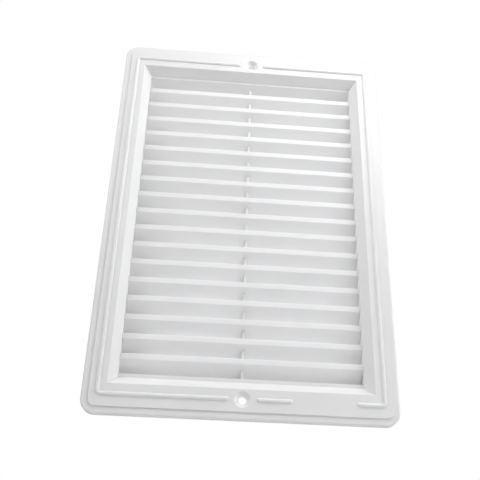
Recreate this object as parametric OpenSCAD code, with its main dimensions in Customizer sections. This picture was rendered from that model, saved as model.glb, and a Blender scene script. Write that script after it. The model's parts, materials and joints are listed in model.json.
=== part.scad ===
// Louvred ventilation grille: a rectangular face plate that screws over a duct opening.
// A sunk field of fixed, sloping louvres stands behind the plate, inside a collar.
// Millimetres, +Z up. The face looks along -Y and the plate rests on the wall at Y = 0.
// The origin is on the wall plane, midway between the two fixing screws.

/* [Face plate] */
// Width of the plate
plate_w = 165; // [150:1:190]
// Height of the plate
plate_h = 240; // [215:1:270]
// Depth of the plate, from the wall to its face
plate_d = 5; // [4.5:0.1:7]
// Wall thickness of the moulding
wall_t = 2; // [1.6:0.1:2.4]
// Radius of the plate's corners
corner_r = 7.5; // [6:0.5:10]
// Width of the low rim outside the raised face
rim_w = 3.8; // [3:0.1:4.2]
// Drop from the raised face to the rim
rim_drop = 0.7; // [0.3:0.1:2]
// Rounding of the rim's front edge
edge_r = 1; // [0.5:0.1:2.4]
// Draft of the step between face and rim
step_w = 0.1; // [0.05:0.05:0.8]
// Corner radius of the raised face
face_corner_r = 3.4; // [2:0.2:5]
// Distance of the gate mark in the left edge above the middle
gate_y = 4.5; // [-40:0.5:40]
// Radius of the gate mark
gate_r = 0.9; // [0.5:0.1:1.5]
// Depth of the gate mark
gate_d = 0.4; // [0.2:0.05:0.5]
// Width of the border at each side, from the plate's edge to the recess
border_x = 12.7; // [12:0.1:16]
// Width of the border at top and bottom
border_y = 15.6; // [15:0.1:20]

/* [Bead] */
// Width of the raised half-round bead
bead_w = 2.4; // [1.6:0.1:3]
// Height of the bead above the face
bead_h = 0.9; // [0.5:0.05:1.2]
// Distance of the bead from the recess at each side
bead_gap_x = 4.65; // [3.5:0.05:5.5]
// Radius of the bead's corners
bead_corner_r = 1.8; // [1.6:0.1:3]
// Half the break in the bead beside each screw hole
bead_break = 7.2; // [6:0.1:12]
// Distance from the lower screw hole to the plain stretch of the face
plain_start = 26.1; // [20:0.1:28]
// Length of the plain stretch, where the bead stops
plain_len = 33.5; // [20:0.5:34]

/* [Fixing screws] */
// Distance of the screw holes from the plate's edge
screw_inset = 10.2; // [9.8:0.1:11]
// Radius of the screw holes
screw_r = 2.2; // [1.6:0.1:2.5]
// Radius of the countersink at the face
sink_r = 4.3; // [3.4:0.1:4.6]
// Radius of the bosses behind the screw holes
boss_r = 5; // [4:0.1:5.5]

/* [Recess] */
// Width of the mitred bevel round the recess
bevel_w = 4.5; // [3:0.1:6]
// Depth of the recess below the face
recess_d = 5.5; // [3:0.1:6]
// Height of the lip above the louvre field
lip_top_h = 1.3; // [0.8:0.05:3]
// Height of the lip below the louvre field
lip_bottom_h = 2; // [0.8:0.05:3]
// Thickness of the lips
lip_t = 1.5; // [1:0.1:2]

/* [Louvres] */
// Number of louvres
louvre_count = 17; // [14:1:17]
// Slope of the louvres, below level towards the duct
louvre_angle = 50; // [44:1:52]
// Thickness of a louvre
louvre_t = 2.25; // [1.4:0.05:2.4]
// Depth of a louvre, from its front to its back
louvre_d = 7; // [6:0.1:8]
// Radius of a louvre's front upper edge
nose_r = 0.3; // [0.1:0.05:0.4]
// Depth of the sockets that hold the louvre ends
socket_d = 1.2; // [0.6:0.1:1.4]
// Clearance above a louvre in its sockets and in the centre rib
louvre_clear = 0.1; // [0.05:0.05:0.2]
// Clearance at each end of a louvre
louvre_end_clear = 0.1; // [0.05:0.05:0.3]

/* [Centre rib] */
// Thickness of the centre rib
rib_t = 1.3; // [1:0.1:3]
// Distance of the rib's front edge behind the louvre fronts
rib_setback = 2.4; // [1.8:0.1:4]
// Depth of the rib's spine behind the louvres
spine_d = 2; // [1.5:0.1:2.5]

/* [Collar] */
// Reach of the collar behind the wall plane
collar_d = 16; // [15.6:0.2:24]
// Wall thickness of the collar
collar_t = 2.3; // [2:0.1:2.8]
// Radius of the collar's outer corners
collar_corner_r = 3; // [2.5:0.1:5]
// Thickness of the stiffening ribs in the hollow of the plate
stiffener_t = 1.2; // [0.8:0.1:1.6]
// Stiffening ribs along each long side
long_ribs = 5; // [3:1:7]
// Stiffening ribs on each half of a short side
short_ribs = 2; // [1:1:3]

/* [Insect screen] */
// Distance between the strands of the screen
strand_pitch = 2; // [1.6:0.1:3]
// Width of a strand
strand_w = 0.5; // [0.3:0.05:0.8]
// Thickness of each of the two layers of strands
strand_t = 0.4; // [0.3:0.05:0.5]
// Clearance between the two layers
layer_clear = 0.02; // [0.01:0.01:0.05]
// Width of the solid edge round the strands
selvedge_w = 2.5; // [2:0.1:3]
// Thickness of the screen's frame
cartridge_t = 3; // [2.6:0.1:3.2]
// Width of the screen's frame
cartridge_w = 6; // [5:0.1:8]
// Clearance between the screen's frame and the collar
cartridge_clear = 0.3; // [0.2:0.05:0.5]
// Distance of the screen's frame inside the collar's back edge
cartridge_inset = 1; // [0.5:0.1:1.2]
// Width of the cross bars that back the screen
cross_bar_w = 1.8; // [1.2:0.1:2.5]
// Height of the stops in the collar that the screen's frame rests on
stop_h = 1.3; // [1:0.1:1.8]
// Width of each stop
stop_w = 10; // [6:0.5:14]
// Thickness of each stop
stop_t = 1.2; // [1:0.1:1.6]
// Width of the two pull tabs
tab_w = 18; // [12:1:26]
// Length of the pull tabs
tab_l = 5; // [3:0.5:8]
// Thickness of the pull tabs
tab_t = 1.8; // [1.2:0.1:2.2]

/* [Hidden] */
$fn = 48;
// Overrun of a cut past the face that it breaks
over = 1;

// Places across the plate, as half widths and half heights
recess_x = plate_w / 2 - border_x;
recess_y = plate_h / 2 - border_y;
open_x = recess_x - bevel_w;
open_y = recess_y - bevel_w;
field_top = open_y - lip_top_h;
field_bottom = lip_bottom_h - open_y;
screw_y = plate_h / 2 - screw_inset;
bead_x = recess_x + bead_gap_x;
face_x = plate_w / 2 - rim_w;
face_y = plate_h / 2 - rim_w;

// Heights above the wall plane
rim_z = plate_d - rim_drop;
floor_z = plate_d - recess_d;
face_under_z = plate_d - wall_t;
rib_front_z = floor_z - rib_setback;
louvre_back_z = floor_z - louvre_d;
spine_back_z = louvre_back_z - spine_d;
collar_back_z = -collar_d;
cartridge_back_z = collar_back_z + cartridge_inset;
cartridge_front_z = cartridge_back_z + cartridge_t;

// Bead section: a segment of a circle
bead_r = (bead_w * bead_w / 4 + bead_h * bead_h) / (2 * bead_h);
bead_z = plate_d + bead_h - bead_r;

// Louvre section and spacing
louvre_v = louvre_t / cos(louvre_angle);
louvre_drop = louvre_d * tan(louvre_angle);
nose_drop = nose_r / tan(45 - louvre_angle / 2);
strip_h = louvre_v - nose_drop + nose_r;
pitch = (field_top - field_bottom + strip_h) / (louvre_count + 1);
louvre_len = 2 * (open_x + socket_d - louvre_end_clear);

// Hollow behind the border
hollow_in_x = recess_x + wall_t / 2;
hollow_in_y = recess_y + wall_t / 2;

// Insect screen and its frame
cartridge_x = open_x - cartridge_clear;
cartridge_y = open_y - cartridge_clear;
rebate_d = 2 * strand_t + layer_clear;
screen_x = cartridge_x - wall_t;
screen_y = cartridge_y - wall_t;
mesh_x = screen_x - selvedge_w;
mesh_y = screen_y - selvedge_w;

function louvre_name(i) = str("louvre_", i < 10 ? "0" : "", i);
// Height of a louvre's front lower edge; number 0 is the fixed slat under the top lip
function louvre_y(i) = field_top - i * pitch;

// The parts are laid out flat: x across, y up the plate, z out of the wall.
module stand_up() {
    rotate([90, 0, 0]) children();
}

module at_corners(x, y) {
    for (side = [-1, 1], end = [-1, 1])
        translate([side * x, end * y, 0]) children();
}

module rounded_rect(x, y, r) {
    square([2 * x, 2 * y - 2 * r], center = true);
    square([2 * x - 2 * r, 2 * y], center = true);
    at_corners(x - r, y - r) circle(r);
}

module slab(x, y, r, low, high) {
    translate([0, 0, low]) linear_extrude(height = high - low) rounded_rect(x, y, r);
}

module box(x, y, low, high) {
    translate([-x, -y, low]) cube([2 * x, 2 * y, high - low]);
}

// A plate whose edge follows the children, drawn from a corner's centre outwards
module edged_plate(x, y, r, height) {
    box(x - r, y - r, 0, height);
    for (turn = [0:3]) {
        across = turn % 2 == 0 ? x : y;
        along = turn % 2 == 0 ? y : x;
        rotate(90 * turn) {
            translate([across - r, along - r, 0]) {
                rotate_extrude(angle = 90) children();
                rotate([90, 0, 0]) linear_extrude(height = 2 * (along - r)) children();
            }
        }
    }
}

module rim_edge() {
    intersection() {
        square([corner_r, rim_z]);
        union() {
            square([corner_r - edge_r, rim_z]);
            square([corner_r, rim_z - edge_r]);
            translate([corner_r - edge_r, rim_z - edge_r]) circle(edge_r);
        }
    }
}

module face_edge() {
    polygon([
        [0, 0],
        [face_corner_r, 0],
        [face_corner_r, rim_z],
        [face_corner_r - step_w, plate_d],
        [0, plate_d]
    ]);
}

// The bevelled recess: two tapering prisms crossed, so that the bevels mitre
module recess() {
    run = bevel_w / recess_d * over;
    intersection() {
        translate([0, recess_y + 2 * over, 0]) rotate([90, 0, 0])
            linear_extrude(height = 2 * recess_y + 4 * over) bevel_section(open_x, recess_x, run);
        translate([-recess_x - 2 * over, 0, 0]) rotate([90, 0, 90])
            linear_extrude(height = 2 * recess_x + 4 * over) bevel_section(open_y, recess_y, run);
    }
}

module bevel_section(inner, outer, run) {
    polygon([
        [-inner, floor_z],
        [inner, floor_z],
        [outer + run, plate_d + over],
        [-outer - run, plate_d + over]
    ]);
}

module bead_run(length) {
    rotate([0, 90, 0]) cylinder(h = length, r = bead_r);
}

// Half of the bead along the top or bottom, from the screw hole to the corner
module bead_half(stops) {
    straight = bead_x - bead_corner_r;
    for (run = stops) {
        start = run[0];
        end = min(run[1], straight);
        translate([start, 0, 0]) bead_run(end - start);
        translate([start, 0, 0]) sphere(bead_r);
        if (run[1] < straight) translate([end, 0, 0]) sphere(bead_r);
    }
    translate([straight, -bead_corner_r, 0])
        rotate_extrude(angle = 90) translate([bead_corner_r, 0]) circle(bead_r);
}

module bead() {
    begin = bead_break + bead_r;
    whole = [[begin, bead_x]];
    broken = [[begin, plain_start - bead_r], [plain_start + plain_len + bead_r, bead_x]];
    translate([0, 0, bead_z]) {
        for (side = [-1, 1])
            translate([side * bead_x, -screw_y + bead_corner_r, 0])
                rotate([-90, 0, 0]) cylinder(h = 2 * (screw_y - bead_corner_r), r = bead_r);
        translate([0, screw_y, 0]) bead_half(whole);
        translate([0, screw_y, 0]) mirror([1, 0, 0]) bead_half(whole);
        translate([0, -screw_y, 0]) rotate(180) bead_half(whole);
        translate([0, -screw_y, 0]) mirror([0, 1, 0]) bead_half(broken);
    }
}

// Louvre section: x runs in from the front, y runs up; the front upper edge is rounded
module louvre_section(extra) {
    top = louvre_v + extra;
    nose_y = top - nose_drop;
    polygon([
        [0, 0],
        [louvre_d, -louvre_drop],
        [louvre_d, top - louvre_drop],
        [nose_r + nose_r * sin(louvre_angle), nose_y + nose_r * cos(louvre_angle)],
        [nose_r, nose_y],
        [0, nose_y]
    ]);
    translate([nose_r, nose_y]) circle(nose_r);
}

// A louvre's section run along x, with a number that gives its height
module louvre_bar(i, length, extra = 0) {
    translate([-length / 2, louvre_y(i), floor_z])
        rotate([0, 90, 0]) linear_extrude(height = length) louvre_section(extra);
}

module border_hollow() {
    difference() {
        box(face_x - wall_t, face_y - wall_t, -over, face_under_z);
        box(hollow_in_x, hollow_in_y, -2 * over, plate_d);
        at_corners(0, screw_y) cylinder(h = plate_d, r = boss_r);
        stiffeners();
    }
}

// Ribs across the hollow, from the recess wall to the rim
module stiffeners() {
    reach_x = face_x - wall_t / 2;
    reach_y = face_y - wall_t / 2;
    long_pitch = 2 * open_y / (long_ribs - 1);
    short_pitch = open_x / short_ribs;
    for (i = [0:long_ribs - 1])
        translate([0, i * long_pitch - open_y, 0]) box(reach_x, stiffener_t / 2, 0, plate_d);
    for (side = [-1, 1], i = [1:short_ribs])
        translate([side * i * short_pitch, 0, 0]) box(stiffener_t / 2, reach_y, 0, plate_d);
}

// Stops inside the collar, two on each wall
module screen_stops() {
    for (side = [-1, 1], end = [-1, 1]) {
        translate([side * open_x, end * open_y / 2, 0])
            box(stop_h, stop_w / 2, cartridge_front_z, cartridge_front_z + stop_t);
        translate([side * open_x / 2, end * open_y, 0])
            box(stop_w / 2, stop_h, cartridge_front_z, cartridge_front_z + stop_t);
    }
}

// The opening between the lips
module field_cut() {
    translate([0, (field_top + field_bottom) / 2, 0])
        box(open_x, (field_top - field_bottom) / 2, floor_z - lip_t - over, floor_z + over);
}

module screw_hole() {
    translate([0, 0, -over]) cylinder(h = plate_d + 2 * over, r = screw_r);
    translate([0, 0, plate_d - sink_r + screw_r]) cylinder(h = sink_r - screw_r, r1 = screw_r, r2 = sink_r);
}

// A shallow scar in the left edge, where the moulding was cut from its runner
module gate_mark() {
    translate([-plate_w / 2 + gate_d - gate_r, gate_y, -over]) cylinder(h = plate_d + over, r = gate_r);
}

module frame_shell() {
    difference() {
        union() {
            edged_plate(plate_w / 2, plate_h / 2, corner_r, rim_z) rim_edge();
            edged_plate(face_x, face_y, face_corner_r, plate_d) face_edge();
            slab(open_x + collar_t, open_y + collar_t, collar_corner_r, collar_back_z, wall_t);
        }
        border_hollow();
        recess();
        box(open_x, open_y, collar_back_z - over, floor_z - lip_t);
        field_cut();
        at_corners(0, screw_y) screw_hole();
        gate_mark();
    }
}

module front_frame() {
    color("white") stand_up() difference() {
        union() {
            frame_shell();
            bead();
            screen_stops();
            louvre_bar(0, 2 * open_x + collar_t);
        }
        for (i = [1:louvre_count]) louvre_bar(i, 2 * (open_x + socket_d), louvre_clear);
    }
}

module louvre(i) {
    color("white") stand_up() louvre_bar(i, louvre_len);
}

// Comb between the collar's top and bottom walls; each louvre lies in a slot
module centre_rib() {
    color("white") stand_up() difference() {
        box(rib_t / 2, open_y, spine_back_z, rib_front_z);
        for (i = [0:louvre_count]) louvre_bar(i, rib_t + 2 * over, louvre_clear);
    }
}

// One layer of parallel strands in a solid edge, laid along y
module strand_layer(x, y) {
    count = floor(2 * (x - selvedge_w) / strand_pitch);
    first = -(count - 1) / 2 * strand_pitch;
    gap = (strand_pitch - strand_w) / 2;
    end = y - selvedge_w;
    slots = [for (i = [0:count - 1]) let (c = first + i * strand_pitch)
        each [[c - gap, -end], [c + gap, -end], [c + gap, end], [c - gap, end]]];
    edge = [[-x, -y], [x, -y], [x, y], [-x, y]];
    loops = [for (i = [0:count]) [for (k = [0:3]) 4 * i + k]];
    linear_extrude(height = strand_t) polygon(concat(edge, slots), loops);
}

module insect_screen() {
    color("lightgray") stand_up() translate([0, 0, cartridge_front_z - rebate_d]) {
        strand_layer(screen_x, screen_y);
        translate([0, 0, strand_t + layer_clear]) rotate(90) strand_layer(screen_y, screen_x);
    }
}

module cross_bars() {
    bar_z = cartridge_front_z - rebate_d;
    box(cross_bar_w / 2, screen_y, cartridge_back_z, bar_z);
    for (level = [-1, 0, 1])
        translate([0, level * screen_y / 2, 0])
            box(screen_x, cross_bar_w / 2, cartridge_back_z, bar_z);
}

module pull_tab() {
    translate([0, cartridge_y - cartridge_w / 2, 0])
        box(tab_w / 2, tab_t / 2, cartridge_back_z - tab_l, cartridge_back_z);
}

module screen_frame() {
    color("white") stand_up() {
        difference() {
            slab(cartridge_x, cartridge_y, wall_t, cartridge_back_z, cartridge_front_z);
            box(cartridge_x - cartridge_w, cartridge_y - cartridge_w,
                cartridge_back_z - over, cartridge_front_z + over);
            box(screen_x, screen_y, cartridge_front_z - rebate_d, cartridge_front_z + over);
        }
        cross_bars();
        pull_tab();
        mirror([0, 1, 0]) pull_tab();
    }
}

front_frame();
for (i = [1:louvre_count])
    louvre(i);
centre_rib();
insect_screen();
screen_frame();
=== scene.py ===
"""The look of a white moulded ventilation grille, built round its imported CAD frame."""

import json
import math

import bmesh
import bpy
from mathutils import Euler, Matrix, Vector

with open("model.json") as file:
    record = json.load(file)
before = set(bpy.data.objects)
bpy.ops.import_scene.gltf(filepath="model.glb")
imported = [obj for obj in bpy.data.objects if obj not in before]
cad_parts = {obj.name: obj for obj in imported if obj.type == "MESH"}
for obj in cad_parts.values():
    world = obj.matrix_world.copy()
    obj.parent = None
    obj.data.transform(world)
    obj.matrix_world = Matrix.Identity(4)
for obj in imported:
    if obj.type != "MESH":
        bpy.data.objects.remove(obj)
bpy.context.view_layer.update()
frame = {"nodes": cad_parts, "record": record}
scene = bpy.context.scene

MM = 0.001

# The photograph's camera, in the part's frame
CAMERA_PLACE = (-0.0250, -0.3456, -0.1879)
CAMERA_TURN_DEG = (116.40, -1.70, -4.36)
LENS_MM = 49.75
SENSOR_MM = 36.0
NEAREST_SEEN = 0.01

# Softboxes aimed at the grille's middle: distance, degrees round to the right from its
# front, degrees up, side and watts
SOFTBOXES = {
    "near_key": (0.6, 20, 45, 0.27, 1.20),
    "right_key": (0.6, 60, 45, 0.27, 1.12),
    "right_fill": (0.9, 60, 0, 0.40, 2.45),
    "left_fill": (0.9, -60, 30, 0.40, 3.45),
    "back_fill": (0.9, 180, 20, 0.60, 3.0),
}

# How far the screw holes are above and below the middle
mounts = {mount["name"]: mount for mount in frame["record"]["mounts"]}
SCREW_Z = mounts["fixing_screws"]["dims"]["spacing_y_mm"] / 2 * MM

# Panels in the duct and the screw holes that shine to the front: place, size and watts
GLOW_PANELS = {
    "duct_glow": ((0.004, 0.0105, 0.0), (0.12, 0.19), 0.056),
    "upper_hole_glow": ((0.0, -0.0003, SCREW_Z), (0.003, 0.003), 0.000035),
    "lower_hole_glow": ((0.0, -0.0003, -SCREW_Z), (0.003, 0.003), 0.000035),
}

# How bright the surround and the floor are to the camera, and as lights
WHITE_LIGHT = (1.0, 1.0, 1.0, 1.0)
SURROUND_SEEN, SURROUND_LIT = 1.0, 0.09
FLOOR_SEEN, FLOOR_LIT = 0.5, 0.16

FLOOR_Z = -0.42
FLOOR_HALF = 3.0
FLOOR_GREY = (0.86, 0.86, 0.86)
FLOOR_ROUGH = 0.8

WHITE = (0.90, 0.90, 0.905)
SCREEN_GREY = (0.60, 0.61, 0.62)

# Finishes: colour, roughness, softened edge in mm, share of light that sinks into the
# plastic and its depth there in mm
FINISHES = {
    "frame_white": (WHITE, 0.34, 0.15, 0.3, 0.6),
    "louvre_white": (WHITE, 0.34, 0.2, 1.0, 2.0),
    "strand_grey": (SCREEN_GREY, 0.55, 0.06, 0.0, 0.0),
}
PLASTIC_IOR = 1.49
SINK_RADIUS = (1.0, 1.0, 1.0)
EDGE_SAMPLES = 4

# Marks that moulding leaves: scale and detail of each noise
FLOW_MARKS = (35.0, 3.0)
FINE_GRAIN = (1800.0, 2.0)
SLOW_WAVES = (90.0, 1.0)

# What the flow marks do to colour and roughness
FLOW_LOW, FLOW_HIGH = 0.3, 0.7
FLOW_SHADE = 0.975
SMOOTHER, ROUGHER = 0.04, 0.05

WAVE_HEIGHT_MM, WAVE_STRENGTH = 0.02, 0.5
GRAIN_HEIGHT_MM, GRAIN_STRENGTH = 0.004, 0.4


def set_camera():
    data = bpy.data.cameras.new("camera")
    data.sensor_width = SENSOR_MM
    data.lens = LENS_MM
    data.clip_start = NEAREST_SEEN
    camera = bpy.data.objects.new("camera", data)
    camera.location = CAMERA_PLACE
    camera.rotation_euler = Euler([math.radians(a) for a in CAMERA_TURN_DEG], "XYZ")
    scene.collection.objects.link(camera)
    scene.camera = camera


def add_range(tree, value, low, high):
    """A value from 0 to 1, spread over low to high."""
    level = tree.nodes.new("ShaderNodeMapRange")
    level.inputs["To Min"].default_value = low
    level.inputs["To Max"].default_value = high
    tree.links.new(value, level.inputs["Value"])
    return level.outputs["Result"]


def seen_or_lit(tree, seen, lit):
    """One strength where the camera looks at a glow, another where it lights things."""
    path = tree.nodes.new("ShaderNodeLightPath")
    return add_range(tree, path.outputs["Is Camera Ray"], lit, seen)


def set_world():
    """A white surround."""
    world = bpy.data.worlds.new("studio")
    world.use_nodes = True
    tree = world.node_tree
    background = tree.nodes["Background"]
    background.inputs["Color"].default_value = WHITE_LIGHT
    strength = seen_or_lit(tree, SURROUND_SEEN, SURROUND_LIT)
    tree.links.new(strength, background.inputs["Strength"])
    scene.world = world


def add_softbox(name, place, toward, size, power):
    """A soft panel of light that the camera doesn't see."""
    data = bpy.data.lights.new(name, "AREA")
    data.shape = "RECTANGLE"
    data.size, data.size_y = size
    data.energy = power
    lamp = bpy.data.objects.new(name, data)
    lamp.location = place
    lamp.visible_camera = False
    lamp.rotation_euler = toward.to_track_quat("-Z", "Y").to_euler()
    scene.collection.objects.link(lamp)


def from_bearing(distance, azimuth, elevation):
    """A place at this distance from the grille, seen from its front."""
    across, up = math.radians(azimuth), math.radians(elevation)
    level = distance * math.cos(up)
    x, y = level * math.sin(across), -level * math.cos(across)
    return Vector((x, y, distance * math.sin(up)))


def set_lights():
    for name, (distance, azimuth, elevation, side, power) in SOFTBOXES.items():
        place = from_bearing(distance, azimuth, elevation)
        add_softbox(name, place, -place, (side, side), power)
    frontward = Vector((0.0, -1.0, 0.0))
    for name, (place, size, power) in GLOW_PANELS.items():
        add_softbox(name, place, frontward, size, power)


def new_material(name):
    material = bpy.data.materials.new(name)
    material.use_nodes = True
    tree = material.node_tree
    return material, tree, tree.nodes["Principled BSDF"]


def add_noise(tree, place, scale, detail):
    noise = tree.nodes.new("ShaderNodeTexNoise")
    noise.inputs["Scale"].default_value = scale
    noise.inputs["Detail"].default_value = detail
    tree.links.new(place, noise.inputs["Vector"])
    return noise.outputs["Fac"]


def add_flow_colour(tree, flow, dark, light):
    """A colour that the flow marks take from dark to light."""
    ramp = tree.nodes.new("ShaderNodeValToRGB")
    first, last = ramp.color_ramp.elements
    first.position, first.color = FLOW_LOW, (*dark, 1.0)
    last.position, last.color = FLOW_HIGH, (*light, 1.0)
    tree.links.new(flow, ramp.inputs["Fac"])
    return ramp.outputs["Color"]


def add_bump(tree, height, distance_mm, strength, normal):
    bump = tree.nodes.new("ShaderNodeBump")
    bump.inputs["Distance"].default_value = distance_mm * MM
    bump.inputs["Strength"].default_value = strength
    tree.links.new(height, bump.inputs["Height"])
    tree.links.new(normal, bump.inputs["Normal"])
    return bump.outputs["Normal"]


def moulded_plastic(name, colour, rough, edge_mm, sink, sink_mm):
    """Faint flow marks, a fine grain, softened edges and light that sinks in."""
    material, tree, shader = new_material(name)
    ports, join = shader.inputs, tree.links.new
    place = tree.nodes.new("ShaderNodeTexCoord").outputs["Object"]
    flow = add_noise(tree, place, *FLOW_MARKS)
    grain = add_noise(tree, place, *FINE_GRAIN)
    waves = add_noise(tree, place, *SLOW_WAVES)

    shade = tuple(c * FLOW_SHADE for c in colour)
    join(add_flow_colour(tree, flow, shade, colour), ports["Base Color"])
    join(add_range(tree, flow, rough - SMOOTHER, rough + ROUGHER), ports["Roughness"])

    edge = tree.nodes.new("ShaderNodeBevel")
    edge.samples = EDGE_SAMPLES
    edge.inputs["Radius"].default_value = edge_mm * MM
    soft = edge.outputs["Normal"]
    waved = add_bump(tree, waves, WAVE_HEIGHT_MM, WAVE_STRENGTH, soft)
    grained = add_bump(tree, grain, GRAIN_HEIGHT_MM, GRAIN_STRENGTH, waved)
    join(grained, ports["Normal"])

    ports["IOR"].default_value = PLASTIC_IOR
    ports["Subsurface Weight"].default_value = sink
    ports["Subsurface Radius"].default_value = SINK_RADIUS
    ports["Subsurface Scale"].default_value = sink_mm * MM
    return material


def floor_material():
    material, tree, shader = new_material("floor")
    shader.inputs["Base Color"].default_value = (*FLOOR_GREY, 1.0)
    shader.inputs["Roughness"].default_value = FLOOR_ROUGH
    shader.inputs["Emission Color"].default_value = WHITE_LIGHT
    strength = seen_or_lit(tree, FLOOR_SEEN, FLOOR_LIT)
    tree.links.new(strength, shader.inputs["Emission Strength"])
    return material


def finish_name(node_name):
    if node_name == "insect_screen":
        return "strand_grey"
    if node_name.startswith("louvre"):
        return "louvre_white"
    return "frame_white"


def dress_nodes():
    finishes = {name: moulded_plastic(name, *look) for name, look in FINISHES.items()}
    for name, node in frame["nodes"].items():
        node.data.materials.clear()
        node.data.materials.append(finishes[finish_name(name)])


def add_floor():
    mesh = bpy.data.meshes.new("floor")
    shape = bmesh.new()
    bmesh.ops.create_grid(shape, x_segments=1, y_segments=1, size=FLOOR_HALF)
    bmesh.ops.translate(shape, verts=shape.verts, vec=(0.0, 0.0, FLOOR_Z))
    shape.to_mesh(mesh)
    shape.free()
    floor = bpy.data.objects.new("floor", mesh)
    floor.data.materials.append(floor_material())
    scene.collection.objects.link(floor)


set_camera()
set_world()
set_lights()
dress_nodes()
add_floor()

scene.view_settings.view_transform = "Standard"
